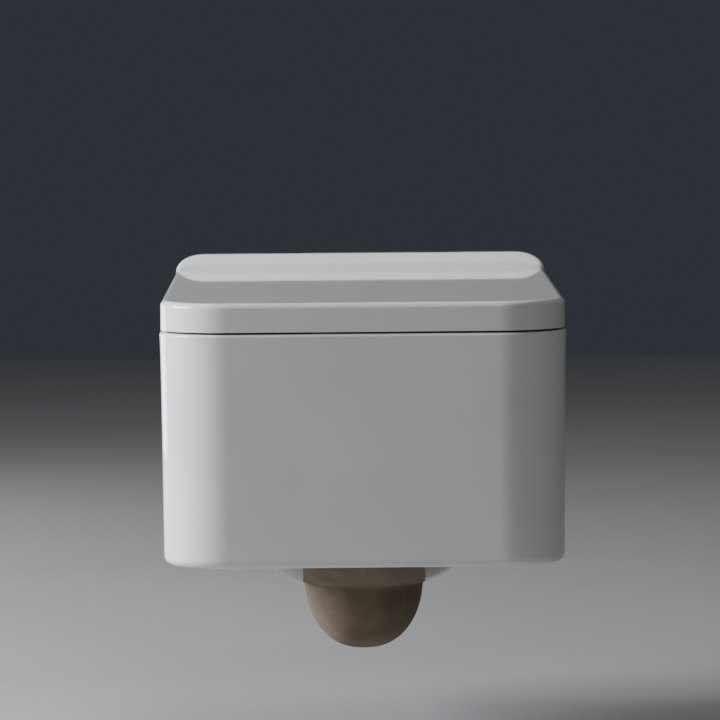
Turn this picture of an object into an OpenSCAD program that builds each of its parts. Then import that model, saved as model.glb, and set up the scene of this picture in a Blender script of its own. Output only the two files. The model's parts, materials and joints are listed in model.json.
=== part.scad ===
// Wall hung toilet: a glazed pan hung on two wall bolts, with a seat ring, a wrap-over lid that
// sweeps up into a rear ridge, and quick release soft close hinges.
// The origin is the middle of the two wall bolts in the wall plane. +Y points into the wall,
// +Z up, and +X to the right as seen by someone who faces the pan.

/* [Pan] */
// Width of the pan across its rim
pan_w = 370; // [350:1:400]
// How far the pan stands out from the wall
pan_d = 540; // [510:1:580]
// Height of the rim above the wall bolts
rim_z = 80; // [76:1:92]
// Height of the skirt from the rim to its lower edge
skirt_h = 212; // [196:1:230]
// Radius of the two front corners in plan
corner_r = 62; // [50:1:75]
// How far each side of the skirt draws in from the rim to the lower edge
skirt_taper = 2.3; // [0:0.1:4]
// Thickness of the skirt wall
skirt_wall = 11; // [9:0.5:14]
// Thickness of the flat deck that carries the seat
deck_t = 12; // [10:0.5:16]
// Radius along the outer edge of the rim
rim_edge_r = 3; // [1.5:0.5:5]
// Radius along the lower edge of the skirt
foot_edge_r = 8; // [3:0.5:9]
// Thickness of the back wall that lies against the wall
back_wall_t = 12; // [10:0.5:16]
// Lowest level of the back wall, below the bolts
back_wall_drop = 32; // [26:1:36]

/* [Bowl] */
// Width of the bowl's mouth
bowl_w = 280; // [260:1:290]
// Length of the bowl's mouth from front to back
bowl_l = 340; // [320:1:350]
// Width of the rim in front of the bowl's mouth
bowl_front_rim = 40; // [34:1:50]
// Thickness of the bowl's wall
bowl_wall = 9; // [7:0.5:11]
// Level of the top of the trap's throat, below the bolts
dip_drop = 161; // [157:1:165]
// Lowest level of the sump inside, below the bolts
sump_drop = 226; // [221:1:232]
// Width of the sump inside
sump_w = 90; // [82:1:96]
// Distance from the wall to the middle of the sump
sump_back = 264; // [250:1:280]
// Length of the sump from front to back
sump_l = 120; // [110:1:126]

/* [Trap and outlet] */
// Level of the waste outlet's centre, below the bolts
outlet_drop = 100; // [98:1:106]
// Outside radius of the outlet spigot
outlet_r = 51; // [50:0.5:52]
// Wall of the outlet spigot
outlet_wall = 6; // [5:0.5:8]
// Free length of the outlet spigot in front of the wall plane
outlet_l = 37; // [30:1:42]
// How far the spigot's end stays behind the wall plane
outlet_gap = 3; // [1:0.5:6]
// Half width of the trap passage
trap_r = 42; // [38:0.5:43]
// Level of the weir that holds the water, below the bolts
weir_drop = 117; // [113:1:119]
// Length over which the trap climbs to the weir and meets the spigot
trap_run = 130; // [126:1:133]

/* [Flush inlet] */
// Height of the flush inlet's centre above the bolts
inlet_z = 35; // [32:0.5:37]
// Radius of the inlet's bore in the ceramic
inlet_r = 27.5; // [27:0.25:28]
// Wall around the inlet
inlet_wall = 7; // [6:0.5:8]
// Length of the inlet's round bore
inlet_l = 70; // [60:1:80]
// Width of the flush slot in the bowl
flush_slot_w = 84; // [70:1:96]
// Height of the flush slot in the bowl
flush_slot_h = 22; // [18:1:26]
// Radius of the flush pipe that the rubber seal takes
flush_pipe_r = 22.5; // [22:0.25:23]

/* [Wall bolts] */
// Distance between the two wall bolts
bolt_pitch = 180; // [176:1:184]
// Radius of the hole through each fixing bush
bolt_hole_r = 6.5; // [6.2:0.1:6.8]
// Wall of the plastic fixing bush
bush_wall = 2.3; // [1.8:0.1:2.6]
// Radius of the ceramic boss around each bolt
boss_r = 20; // [18:0.5:22]
// Length of the boss from the wall plane
boss_l = 38; // [32:1:44]

/* [Seat] */
// Thickness of the seat ring
seat_t = 16; // [14:0.5:17]
// Height of the rubber buffers under the seat
seat_gap = 3.5; // [3:0.1:4.5]
// Width of the opening in the seat
seat_hole_w = 228; // [210:1:240]
// Length of the opening in the seat
seat_hole_l = 306; // [290:1:316]
// Width of the seat in front of its opening
seat_front = 62; // [56:1:70]
// Radius along the edges of the seat
seat_edge_r = 5; // [2:0.5:6]

/* [Lid] */
// Height of the lid's top above the rim at the front
lid_front_h = 28; // [27:0.5:31]
// Height of the lid's top above the rim in front of the ridge
lid_rear_h = 34; // [34:0.5:35]
// Height of the rear ridge above the rim
ridge_h = 48.3; // [47.5:0.1:48.5]
// Distance of the ridge's front foot from the wall
ridge_foot = 77; // [77:1:84]
// Distance of the front end of the ridge's flat top from the wall
ridge_top = 43; // [41:1:45]
// Width of the rounded ends of the ridge
ridge_end_w = 31; // [25:1:36]
// Height of the rounded ends of the ridge
ridge_end_h = 16.5; // [14:0.5:18]
// How far the lid's sides lie inside the pan's rim
lid_inset = 1; // [0.5:0.1:2]
// Open seam between the lid and the rim
seam = 1.8; // [1:0.1:2.2]
// Wall of the lid
lid_wall = 5; // [4:0.25:5]
// Radius along the lid's top edge
lid_edge_r = 5.5; // [5.2:0.1:7]

/* [Hinges] */
// Distance between the two seat fixings
hinge_pitch = 155; // [153:1:157]
// Distance of the seat fixings from the wall
fix_back = 66; // [65:0.5:67]
// Distance of the hinge axis from the wall
axis_back = 38; // [37.5:0.5:39]
// Height of the hinge axis above the rim
axis_h = 26; // [25.8:0.1:26.5]
// Radius of the hinge barrels
barrel_r = 12; // [11:0.5:12]
// Width of each fixed hinge block
block_w = 27; // [26:0.5:28]
// Radius of the pivot pins
pivot_r = 4; // [3:0.5:5]
// Radius of the damper cartridges
damper_r = 9; // [8:0.5:9]
// Radius of the steel base discs
disc_r = 18; // [16:0.5:18]
// Thickness of the steel base discs
disc_t = 4.5; // [3.5:0.5:5]
// Travel of the release buttons
release_travel = 3; // [2.5:0.1:3]

/* [Clearances] */
// Gap between pieces that only rest near each other
rest_gap = 0.3; // [0.25:0.05:0.4]
// Radial gap of a turning pin
pin_gap = 0.05; // [0.03:0.01:0.08]
// Radial gap of a part that is fixed in its hole
fix_gap = 0.1; // [0.05:0.05:0.2]
// Side gap between hinge pieces
side_gap = 0.6; // [0.4:0.1:0.8]

/* [Hidden] */
$fn = 64;

// Levels and places that follow from the driving sizes
foot_z = rim_z - skirt_h;
front_y = -pan_d;
deck_under = rim_z - deck_t;
axis_y = -axis_back;
axis_z = rim_z + axis_h;
fix_y = -fix_back;
fix_x = hinge_pitch / 2;
bowl_front = front_y + bowl_front_rim;
bowl_rear = bowl_front + bowl_l;
dip_z = -dip_drop;
sump_z = -sump_drop;
outlet_z = -outlet_drop;
weir_z = -weir_drop;
seal_lip = 5;
seal_l = 34;
// How far cutting shapes run past the faces that they cut
over = 1;
// Power of the skirt's taper: below 1 it is strongest under the rim
taper_power = 0.55;
// Squareness of the bowl's rings at the mouth, at the throat and of the trap's flat throat, where
// 2 is an ellipse
mouth_square = 2.7;
throat_square = 2.1;
trap_square = 2.2;
// The throat's top lies this far under the bowl's bottom
throat_drop = 5;

// Lid outline
lid_w = pan_w - 2 * lid_inset;
lid_front = front_y + lid_inset;
lid_r = corner_r - lid_inset;
lid_bottom = rim_z + seam;
lid_front_z = rim_z + lid_front_h;
lid_rear_z = rim_z + lid_rear_h;
lid_slope = atan((lid_rear_z - lid_front_z) / (-ridge_foot - lid_front));
ridge_z = rim_z + ridge_h;
// Everything of the lid behind the hinge axis keeps inside this radius, so that it clears the deck
sweep_r = axis_h - 1.4;
// The rear wall of the lid ends this far round from straight down
rear_end_angle = 40;
lid_rear_y = axis_y + sweep_r;

// Seat outline
seat_w = lid_w - 2 * lid_wall - 4;
seat_front_y = lid_front + lid_wall + 2;
seat_r = lid_r - lid_wall - 2;
seat_rear_y = fix_y - disc_r - 8;
seat_rear_r = 16;
seat_z = rim_z + seat_gap;
seat_top = seat_z + seat_t;
seat_hole_front = seat_front_y + seat_front;
seat_hole_front_r = 96;
seat_hole_rear_r = 70;

// Buffers
pad_r = 8;
pad_stem_r = 3;
pad_stem_l = 5;
pad_side = 25;
pad_inset = 100;
pad_back = 36;
pad_x = pan_w / 2 - pad_side;
pad_front_y = front_y + pad_inset;
pad_rear_y = seat_rear_y - pad_back;

// Hinge stack on the deck
washer_t = 1;
disc_z = rim_z + washer_t;
block_z = disc_z + disc_t;
shank_r = 3;
pillar_r = 5;
neck_r = 3.2;
slide_t = 2;
slide_z = block_z + 8;
slide_w = 13;
head_top = slide_z + 6.5;
deck_hole_r = 8;
sleeve_r = deck_hole_r - fix_gap;
sleeve_bottom = deck_under - 8;
nut_bottom = sleeve_bottom - 8;
cap_t = 3;
cap_w = 16;
cap_h = 8;
// How far the button reaches below its slide, and into the block at rest
cap_low = 3;
cap_in = 1;
// Rear end of the slide, and of the slot that it runs in
slide_tail = neck_r + 2.5;
slot_end = fix_y + slide_tail + release_travel + 3.2;
block_front = fix_y - disc_r;
lug_w = 14;
// How far the lug's neck reaches in front of the axis
lug_neck = 8;
lid_lug_in = fix_x - block_w / 2 - side_gap - lug_w;
seat_lug_in = fix_x + block_w / 2 + side_gap;
bush_ring = 1.6;
// Holes in the lugs: one takes the pin with a close fit, the other the bush
press_gap = 0.02;
bush_seat_r = pivot_r + pin_gap + bush_ring + fix_gap;
notch_in = fix_x - block_w / 2 - 7;
notch_out = fix_x + disc_r + 2;
notch_y = axis_y + 5;

function arc(y, z, r, a0, a1, n = 8) = [
  for (i = [0:n])
    let (a = a0 + (a1 - a0) * i / n)
      [y + r * cos(a), z + r * sin(a)]
];

// One ring of a lofted tube: its centre, the direction it faces in the YZ plane, its two half
// sizes and how square it is
function power(v, e) = sign(v) * pow(abs(v), e);
function ring(y, z, facing, a, b, square = 2, n = 32) = [
  for (i = [0:n - 1])
    let (c = power(cos(360 * i / n), 2 / square), s = power(sin(360 * i / n), 2 / square))
      [a * c, y + b * s * sin(facing), z - b * s * cos(facing)]
];

function mix(a, b, t) = a + (b - a) * t;

module loft(rings) {
  n = len(rings[0]);
  m = len(rings);
  points = [for (r = rings) for (p = r) p];
  walls = [
    for (k = [0:m - 2]) for (i = [0:n - 1])
      let (a = k * n + i, b = k * n + (i + 1) % n)
        each [[a, a + n, b + n], [a, b + n, b]]
  ];
  caps = [[for (i = [0:n - 1]) i], [for (i = [n - 1:-1:0]) (m - 1) * n + i]];
  polyhedron(points = points, faces = concat(walls, caps), convexity = 6);
}

// Rectangle in plan with its own front and rear corner radii
module plan(w, y0, y1, rf, rr = 0) {
  translate([-w / 2, y0 + rf]) square([w, y1 - y0 - rf - rr]);
  translate([-w / 2 + rf, y0]) square([w - 2 * rf, rf + over]);
  for (s = [-1, 1])
    translate([s * (w / 2 - rf), y0 + rf]) circle(r = rf);
  if (rr > 0) {
    translate([-w / 2 + rr, y1 - rr - over]) square([w - 2 * rr, rr + over]);
    for (s = [-1, 1])
      translate([s * (w / 2 - rr), y1 - rr]) circle(r = rr);
  }
}

// Sweeps a 2D profile, whose x points outwards from the outline and y up, round the same outline.
// With no rear radius the outline stays open at the rear.
module sweep(w, y0, y1, rf, rr = 0) {
  for (s = [0, 1]) mirror([s, 0, 0]) {
    translate([w / 2, y1 - rr, 0]) rotate([90, 0, 0]) linear_extrude(y1 - rr - y0 - rf) children();
    translate([w / 2 - rf, y0 + rf, 0]) rotate([0, 0, -90])
      rotate_extrude(angle = 90) translate([rf, 0]) children();
    if (rr > 0)
      translate([w / 2 - rr, y1 - rr, 0]) rotate_extrude(angle = 90) translate([rr, 0]) children();
  }
  translate([w / 2 - rf, y0, 0]) rotate([90, 0, -90]) linear_extrude(w - 2 * rf) children();
  if (rr > 0)
    translate([-w / 2 + rr, y1, 0]) rotate([90, 0, 90]) linear_extrude(w - 2 * rr) children();
}

// Runs a profile drawn in Y and Z along X between two places
module along_x(x0, x1) {
  translate([x0, 0, 0]) rotate([90, 0, 90]) linear_extrude(x1 - x0) children();
}

// Turns a cylinder to lie along X or Y
module rod_x(x0, x1, y, z, r) {
  translate([x0, y, z]) rotate([0, 90, 0]) cylinder(h = x1 - x0, r = r);
}
module rod_y(x, y0, y1, z, r) {
  translate([x, y1, z]) rotate([90, 0, 0]) cylinder(h = y1 - y0, r = r);
}

// A slab whose top edge is rounded all round
module soft_slab(w, y0, y1, rf, rr, z0, z1, r) {
  translate([0, 0, z0]) linear_extrude(z1 - r - z0) plan(w, y0, y1, rf, rr);
  translate([0, 0, z1 - r - over]) linear_extrude(r + over)
    plan(w - 2 * r, y0 + r, y1 - r, rf - r, rr - r);
  sweep(w, y0, y1, rf, rr) polygon(concat(
    [[-r - 0.5, z1]],
    arc(-r, z1 - r, r, 90, 0, 6),
    [[-r - 0.5, z1 - r]]
  ));
}

// Inner shape of the bowl at a level from 0 at the rim to 1 at the throat, grown by g
function bowl_t(u) = 1 - sqrt(1 - u * u);
function bowl_ring(u, g) =
  let (
    f = bowl_t(u),
    half = mix(bowl_w, sump_w, f) / 2 + g,
    y0 = mix(bowl_front, -sump_back - sump_l / 2, f) - g,
    y1 = mix(bowl_rear, -sump_back + sump_l / 2, f) + g,
    z = mix(rim_z, dip_z, u) - g * u
  ) ring((y0 + y1) / 2, z, 90, half, (y1 - y0) / 2, mix(mouth_square, throat_square, u));
// Sump below the throat, from 0 at the throat to 1 at its floor
function sump_ring(u, g) =
  let (
    f = pow(1 - u * u, 0.44),
    half = (sump_w / 2 + g) * f + 2,
    z = mix(dip_z, sump_z, u) - g
  ) ring(-sump_back, z, 90, half, (sump_l / 2 + g) * f + 2, throat_square);

module bowl_shape(g, top) {
  loft(concat(
    [for (u = [1, 0.985, 0.94, 0.86, 0.74, 0.58, 0.38]) sump_ring(u, g)],
    [for (u = [1, 0.99, 0.97, 0.94, 0.89, 0.82, 0.72, 0.6, 0.45, 0.25, 0]) bowl_ring(u, g)],
    [ring((bowl_front + bowl_rear) / 2, rim_z + top, 90, bowl_w / 2 + g, bowl_l / 2 + g, mouth_square)]
  ));
}

// Rows of numbers joined by a smooth curve, with steps rows between each two given ones
function between(a, b, c, d, t) = 0.5 * (2 * b + (c - a) * t + (2 * a - 5 * b + 4 * c - d) * t * t
  + (3 * b - a - 3 * c + d) * t * t * t);
function smooth(rows, steps) =
  let (m = len(rows) - 1)
    concat(
      [for (k = [0:m - 1]) for (j = [0:steps - 1])
        between(rows[max(k - 1, 0)], rows[k], rows[k + 1], rows[min(k + 2, m)], j / steps)],
      [rows[m]]
    );

// Water way from the sump over the weir to the outlet. Each row is a place along Y, a level,
// the direction the water takes there, and the passage's half width, half height and squareness.
module trap_shape(g) {
  floor_z = sump_z + 4;
  throat = (dip_z - throat_drop - floor_z) / 2;
  low = floor_z + throat;
  crest = weir_z + trap_r - 5;
  // The passage ends a little inside the spigot's bore, and its casing in a shoulder round the spigot
  out_r = outlet_r - outlet_wall - 1;
  end_y = -outlet_l - outlet_gap;
  sump_y = -sump_back;
  rows = [
    [sump_y + 6, low, 0, trap_r - 6, throat - 3, trap_square],
    [sump_y + 58, low, 2, trap_r - 2, throat - 1, trap_square],
    [end_y - trap_run, mix(low, crest, 0.08), 30, trap_r, throat + 1, trap_square],
    [end_y - 0.82 * trap_run, mix(low, crest, 0.28), 50, trap_r, throat + 3, throat_square],
    [end_y - 0.65 * trap_run, mix(low, crest, 0.57), 52, trap_r, trap_r - 8, 2],
    [end_y - 0.49 * trap_run, mix(low, crest, 0.83), 38, trap_r, trap_r - 6, 2],
    [end_y - 0.29 * trap_run, crest, 6, trap_r, trap_r - 5, 2],
    [end_y - 0.13 * trap_run, mix(crest, outlet_z, 0.38), -16, trap_r + 1, trap_r - 2, 2],
    [end_y - 6, outlet_z + 1.5, -4, out_r, out_r, 2],
    [end_y, outlet_z, 0, out_r, out_r, 2]
  ];
  loft([for (r = smooth(rows, 2)) ring(r[0], r[1], r[2], r[3] + g, r[4] + g, r[5])]);
}

// Flat funnel from the round inlet to the flush slot in the bowl
module flush_duct(g) {
  y0 = bowl_rear - 16;
  loft([
    ring(-inlet_l, inlet_z, 180, inlet_r - 0.5 + g, inlet_r - 0.5 + g),
    ring(-inlet_l - 26, inlet_z + 4, 180, inlet_r + 8 + g, inlet_r - 8 + g, 2.3),
    ring(y0, inlet_z + 6, 180, flush_slot_w / 2 + g, flush_slot_h / 2 + g, 3)
  ]);
}

module pan() color("whitesmoke") {
  // Outside face of the skirt: most of the taper is close under the rim
  face = [
    for (u = [0, 0.08, 0.25, 0.55, 1])
      [-skirt_taper * pow(u, taper_power), mix(rim_z - rim_edge_r, foot_z + foot_edge_r, u)]
  ];
  inside = -skirt_wall - skirt_taper;
  difference() {
    union() {
      sweep(pan_w, front_y, 0, corner_r) polygon(concat(
        arc(-rim_edge_r, rim_z - rim_edge_r, rim_edge_r, 90, 15, 5),
        face,
        arc(-skirt_taper - foot_edge_r, foot_z + foot_edge_r, foot_edge_r, -15, -90, 5),
        [[inside, foot_z + 2], [inside, deck_under], [inside - 3, deck_under], [inside - 3, rim_z]]
      ));
      translate([0, 0, deck_under]) linear_extrude(deck_t)
        plan(pan_w + 2 * inside, front_y - inside, 0, corner_r + inside);
      translate([-pan_w / 2 - inside - over, -back_wall_t, -back_wall_drop])
        cube([pan_w + 2 * inside + 2 * over, back_wall_t, rim_z + back_wall_drop]);
      bowl_shape(bowl_wall, 0);
      trap_shape(bowl_wall);
      rod_y(0, -outlet_l - outlet_gap - over, -outlet_gap, outlet_z, outlet_r);
      flush_duct(inlet_wall);
      rod_y(0, -inlet_l - over, -outlet_gap, inlet_z, inlet_r + inlet_wall);
      for (s = [-1, 1])
        rod_y(s * bolt_pitch / 2, -boss_l, 0, 0, boss_r);
    }
    bowl_shape(0, over);
    trap_shape(0);
    rod_y(0, -outlet_l - outlet_gap - 0.5, over, outlet_z, outlet_r - outlet_wall);
    flush_duct(0);
    rod_y(0, -inlet_l - 0.5, over, inlet_z, inlet_r);
    rod_y(0, -outlet_gap, over, inlet_z, inlet_r + seal_lip + rest_gap);
    for (s = [-1, 1]) {
      rod_y(s * bolt_pitch / 2, -boss_l - over, over, 0, bolt_hole_r + bush_wall + fix_gap);
      translate([s * fix_x, fix_y, deck_under - over]) cylinder(h = deck_t + 2 * over, r = deck_hole_r);
    }
  }
}

// Splash guard that sits in the flush slot, with its vanes
module flush_diffuser() color("gainsboro") {
  depth = 26;
  vanes = 5;
  pitch = (flush_slot_w - 12) / vanes;
  open_h = flush_slot_h - 12;
  y0 = bowl_rear - 2;
  difference() {
    intersection() {
      flush_duct(-rest_gap);
      translate([-flush_slot_w, y0, inlet_z - 30]) cube([2 * flush_slot_w, depth, 70]);
    }
    for (i = [0:vanes - 1])
      translate([(i - vanes / 2) * pitch + 1.5, y0 - over, inlet_z + 6 - open_h / 2])
        cube([pitch - 3, depth + 2 * over, open_h]);
  }
}

// Rubber sleeve that seals the flush pipe in the inlet
module inlet_seal() color("dimgray") difference() {
  union() {
    rod_y(0, -seal_l, -outlet_gap, inlet_z, inlet_r - fix_gap);
    rod_y(0, -outlet_gap, -0.5, inlet_z, inlet_r + seal_lip);
  }
  rod_y(0, -seal_l - over, over, inlet_z, flush_pipe_r + fix_gap);
}

module fixing_bush(s) color("gainsboro") translate([s * bolt_pitch / 2, 0, 0]) difference() {
  union() {
    rod_y(0, -boss_l - rest_gap, 0, 0, bolt_hole_r + bush_wall);
    rod_y(0, -boss_l - 3 - rest_gap, -boss_l - rest_gap, 0, boss_r - 4);
  }
  rod_y(0, -boss_l - 5, over, 0, bolt_hole_r);
}

module fixing_washer(s) color("silver") translate([s * bolt_pitch / 2, 0, 0]) difference() {
  rod_y(0, -boss_l - 5 - rest_gap, -boss_l - 3 - rest_gap, 0, boss_r - 6);
  rod_y(0, -boss_l - 7, -boss_l, 0, bolt_hole_r);
}

module fixing_nut(s) color("silver") {
  nut_t = 10;
  nut_r = 11;
  y1 = -boss_l - 5 - rest_gap;
  translate([s * bolt_pitch / 2, 0, 0]) difference() {
    translate([0, y1, 0]) rotate([90, 0, 0]) cylinder(h = nut_t, r = nut_r, $fn = 6);
    rod_y(0, y1 - nut_t - over, y1 + over, 0, bolt_hole_r - 1.2);
  }
}

// Side view of a seat hinge arm, from the seat's rear edge up to the hinge barrel
module seat_arm_profile() {
  translate([axis_y, axis_z]) circle(r = barrel_r);
  polygon([
    [seat_rear_y - 14, seat_z + 1],
    [seat_rear_y + 4, seat_z + 1],
    [axis_y - barrel_r * 0.7, axis_z - barrel_r * 0.7],
    [axis_y, axis_z],
    [axis_y - barrel_r * 0.55, axis_z + barrel_r * 0.8],
    [seat_rear_y, seat_top - 0.5],
    [seat_rear_y - 14, seat_top - 0.5]
  ]);
}

module seat_hole_edge() {
  polygon(concat(
    [[-over, seat_top + over], [-over, seat_top - seat_edge_r]],
    arc(seat_edge_r, seat_top - seat_edge_r, seat_edge_r, 180, 90, 6),
    [[seat_edge_r, seat_top + over]]
  ));
}

module seat_ring() color("white") difference() {
  hole_rear = seat_hole_front + seat_hole_l;
  union() {
    soft_slab(seat_w, seat_front_y, seat_rear_y, seat_r, seat_rear_r, seat_z, seat_top, seat_edge_r);
    for (s = [0, 1]) mirror([s, 0, 0])
      along_x(seat_lug_in, seat_lug_in + lug_w) seat_arm_profile();
  }
  translate([0, 0, seat_z - over]) linear_extrude(seat_t + 2 * over)
    plan(seat_hole_w, seat_hole_front, hole_rear, seat_hole_front_r, seat_hole_rear_r);
  sweep(seat_hole_w, seat_hole_front, hole_rear, seat_hole_front_r, seat_hole_rear_r) seat_hole_edge();
  for (x = [-1, 1]) for (y = [pad_front_y, pad_rear_y])
    translate([x * pad_x, y, seat_z - over])
      cylinder(h = pad_stem_l + over + rest_gap, r = pad_stem_r + fix_gap);
  // The left pin turns with the seat, and the right lug runs on its own bush
  rod_x(-seat_lug_in - lug_w - over, -seat_lug_in + over, axis_y, axis_z, pivot_r + press_gap);
  rod_x(seat_lug_in - over, seat_lug_in + lug_w + over, axis_y, axis_z, bush_seat_r);
}

module seat_buffer(x, y) color("lightgray") translate([x * pad_x, y, 0]) {
  translate([0, 0, rim_z + rest_gap]) cylinder(h = seat_gap - rest_gap, r = pad_r);
  translate([0, 0, seat_z]) cylinder(h = pad_stem_l, r = pad_stem_r);
}

// Level of the inside of the lid's flat part at a distance along Y
function lid_in_z(y) = lid_front_z + (y - lid_front) * tan(lid_slope) - lid_wall;

module lid_buffer(s) color("lightgray") translate([s * pad_x, pad_front_y, 0]) {
  z1 = lid_in_z(pad_front_y);
  translate([0, 0, seat_top + rest_gap]) cylinder(h = z1 - 0.1 - seat_top - rest_gap, r = pad_r - 2);
}

// Place at a distance from the hinge axis and an angle round from straight down
function axis_point(r, a) = [axis_y + r * sin(a), axis_z - r * cos(a)];

// Side view of the ridge, drawn in by t
module ridge_profile(t, bottom) {
  foot_y = -ridge_foot;
  crown_r = 3;
  rr = sweep_r - t;
  // The hollow sweep starts level at the foot and runs into the crown's arc
  run = ridge_foot - ridge_top;
  rise = ridge_z - crown_r - lid_rear_z;
  hollow_r = (run * run + rise * rise - crown_r * crown_r) / (2 * (rise + crown_r));
  face = asin(run / (hollow_r + crown_r));
  hollow_z = lid_rear_z + hollow_r;
  y_in = foot_y - 2;
  top = ridge_z - t;
  top_end = sqrt(rr * rr - pow(top - axis_z, 2));
  a_top = atan2(top - axis_z, top_end);
  polygon(concat(
    [[y_in, bottom], [y_in, lid_in_z(y_in) + lid_wall - t]],
    t > 0
      ? arc(foot_y, hollow_z, hollow_r + t, -90, -90 + acos((hollow_z - top) / (hollow_r + t)), 8)
      : concat(
        arc(foot_y, hollow_z, hollow_r, -90, -90 + face, 9),
        arc(-ridge_top, ridge_z - crown_r, crown_r, 90 + face, 90, 4)
      ),
    arc(axis_y, axis_z, rr, a_top, -90 + rear_end_angle, 12),
    t > 0
      ? [axis_point(sweep_r + 6, rear_end_angle), [axis_y, bottom]]
      : arc(axis_y, axis_z, sweep_r, -90 + rear_end_angle, -90, 5)
  ));
}

// Front view of the ridge with its rounded ends, drawn in by t
module ridge_front(t, bottom) {
  half = lid_w / 2 - t;
  a = ridge_end_w;
  b = ridge_end_h;
  corner = [for (i = [0:9]) [half - a + a * sin(10 * i), ridge_z - t - b + b * cos(10 * i)]];
  polygon(concat(
    [[-half, bottom]],
    [for (i = [9:-1:0]) [-corner[i][0], corner[i][1]]],
    corner,
    [[half, bottom]]
  ));
}

module lid_shape(t, bottom) {
  w = lid_w - 2 * t;
  rear_r = 9;
  y0 = lid_front + t;
  intersection() {
    union() {
      // Flat part, laid along the slope of the top
      translate([0, lid_front, lid_front_z]) rotate([lid_slope, 0, 0])
        translate([0, -lid_front, -lid_front_z])
          soft_slab(w, y0, -ridge_foot + 4 + over, lid_r - t, 6, bottom - 20, lid_front_z - t, lid_edge_r - t);
      intersection() {
        along_x(-w / 2, w / 2) ridge_profile(t, bottom);
        rotate([90, 0, 0]) linear_extrude(pan_d) ridge_front(t, bottom);
      }
    }
    translate([0, 0, bottom]) linear_extrude(ridge_h + 60)
      plan(w, y0, lid_rear_y + over, lid_r - t, rear_r);
  }
}

module lid() color("white") {
  difference() {
    union() {
      difference() {
        lid_shape(0, lid_bottom);
        lid_shape(lid_wall, lid_bottom - 30);
      }
      // Lugs that hang from the ridge on each hinge pin
      for (s = [0, 1]) mirror([s, 0, 0]) along_x(lid_lug_in, lid_lug_in + lug_w) {
        translate([axis_y, axis_z]) circle(r = barrel_r);
        translate([axis_y - lug_neck, axis_z])
          square([1.5 * lug_neck, ridge_z - lid_wall - axis_z + over]);
      }
    }
    // Notches that let the rear wall pass the hinge blocks
    for (s = [0, 1]) mirror([s, 0, 0])
      translate([notch_in, notch_y, lid_bottom - over]) cube([notch_out - notch_in, 40, ridge_h + over]);
    // The right pin turns with the lid, and the left lug runs on its own bush
    rod_x(lid_lug_in - over, lid_lug_in + lug_w + over, axis_y, axis_z, pivot_r + press_gap);
    rod_x(-lid_lug_in - lug_w - over, -lid_lug_in + over, axis_y, axis_z, bush_seat_r);
  }
}

module base_washer(s) color("dimgray") translate([s * fix_x, fix_y, rim_z]) difference() {
  cylinder(h = washer_t, r = disc_r - 1);
  translate([0, 0, -over]) cylinder(h = washer_t + 2 * over, r = shank_r + fix_gap);
}

module base_disc(s) color("silver") translate([s * fix_x, fix_y, disc_z]) difference() {
  cylinder(h = disc_t, r = disc_r);
  translate([0, 0, -over]) cylinder(h = disc_t + 2 * over, r = shank_r + fix_gap);
}

// Pillar that the hinge block drops onto, with the threaded shank that holds it to the deck
module fixing_pin(s) color("silver") translate([s * fix_x, fix_y, 0]) {
  translate([0, 0, nut_bottom - 2]) cylinder(h = block_z - nut_bottom + 2, r = shank_r);
  translate([0, 0, block_z]) cylinder(h = slide_z - 0.6 - block_z, r = pillar_r);
  translate([0, 0, slide_z - over]) cylinder(h = slide_t + 2 * over, r = neck_r);
  translate([0, 0, slide_z + slide_t + 0.6]) cylinder(h = head_top - slide_z - slide_t - 0.6, r = pillar_r);
}

module expansion_sleeve(s) color("dimgray") translate([s * fix_x, fix_y, sleeve_bottom]) difference() {
  cylinder(h = rim_z - sleeve_bottom, r = sleeve_r);
  translate([0, 0, -over]) cylinder(h = rim_z - sleeve_bottom + 2 * over, r = shank_r + fix_gap);
}

module sleeve_nut(s) color("darkgoldenrod") translate([s * fix_x, fix_y, nut_bottom]) difference() {
  cylinder(h = sleeve_bottom - nut_bottom, r = sleeve_r - 0.4);
  translate([0, 0, -over]) cylinder(h = sleeve_bottom - nut_bottom + 2 * over, r = shank_r + fix_gap);
}

module block_profile() {
  translate([axis_y, axis_z]) circle(r = barrel_r);
  polygon([
    [block_front, block_z],
    [fix_y + 10, block_z],
    [axis_y - barrel_r * 0.7071, axis_z - barrel_r * 0.7071],
    [axis_y, axis_z],
    [axis_y - barrel_r * 0.5, axis_z + barrel_r * 0.866],
    [fix_y + 4, axis_z],
    [block_front + 4, axis_z - 2],
    [block_front, axis_z - 5]
  ]);
}

module hinge_block(s) color("lightgray") difference() {
  x = s * fix_x;
  along_x(x - block_w / 2, x + block_w / 2) block_profile();
  rod_x(x - block_w / 2 - over, x + block_w / 2 + over, axis_y, axis_z, damper_r + fix_gap);
  translate([x, fix_y, block_z - over])
    cylinder(h = head_top - block_z + over + rest_gap, r = pillar_r + rest_gap);
  translate([x - slide_w / 2 - rest_gap, block_front - over, slide_z - rest_gap])
    cube([slide_w + 2 * rest_gap, slot_end - block_front + over, slide_t + 2 * rest_gap]);
  translate([x - cap_w / 2 - 0.4, block_front - over, slide_z - cap_low - 0.4])
    cube([cap_w + 0.8, over + cap_in + release_travel + rest_gap, cap_h + 0.8]);
}

// Push button with the keyhole plate that catches the pillar's neck
module release_slide(s) color("silver") translate([s * fix_x, fix_y, slide_z]) {
  difference() {
    union() {
      translate([-cap_w / 2, -disc_r - cap_t + cap_in, -cap_low]) cube([cap_w, cap_t, cap_h]);
      translate([-slide_w / 2, -disc_r, 0]) cube([slide_w, disc_r + slide_tail, slide_t]);
    }
    translate([0, -release_travel, -over]) cylinder(h = slide_t + 2 * over, r = pillar_r + 0.4);
    translate([-neck_r - 0.4, -release_travel, -over])
      cube([2 * neck_r + 0.8, release_travel, slide_t + 2 * over]);
    translate([0, 0, -over]) cylinder(h = slide_t + 2 * over, r = neck_r + 0.4);
  }
}

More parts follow.
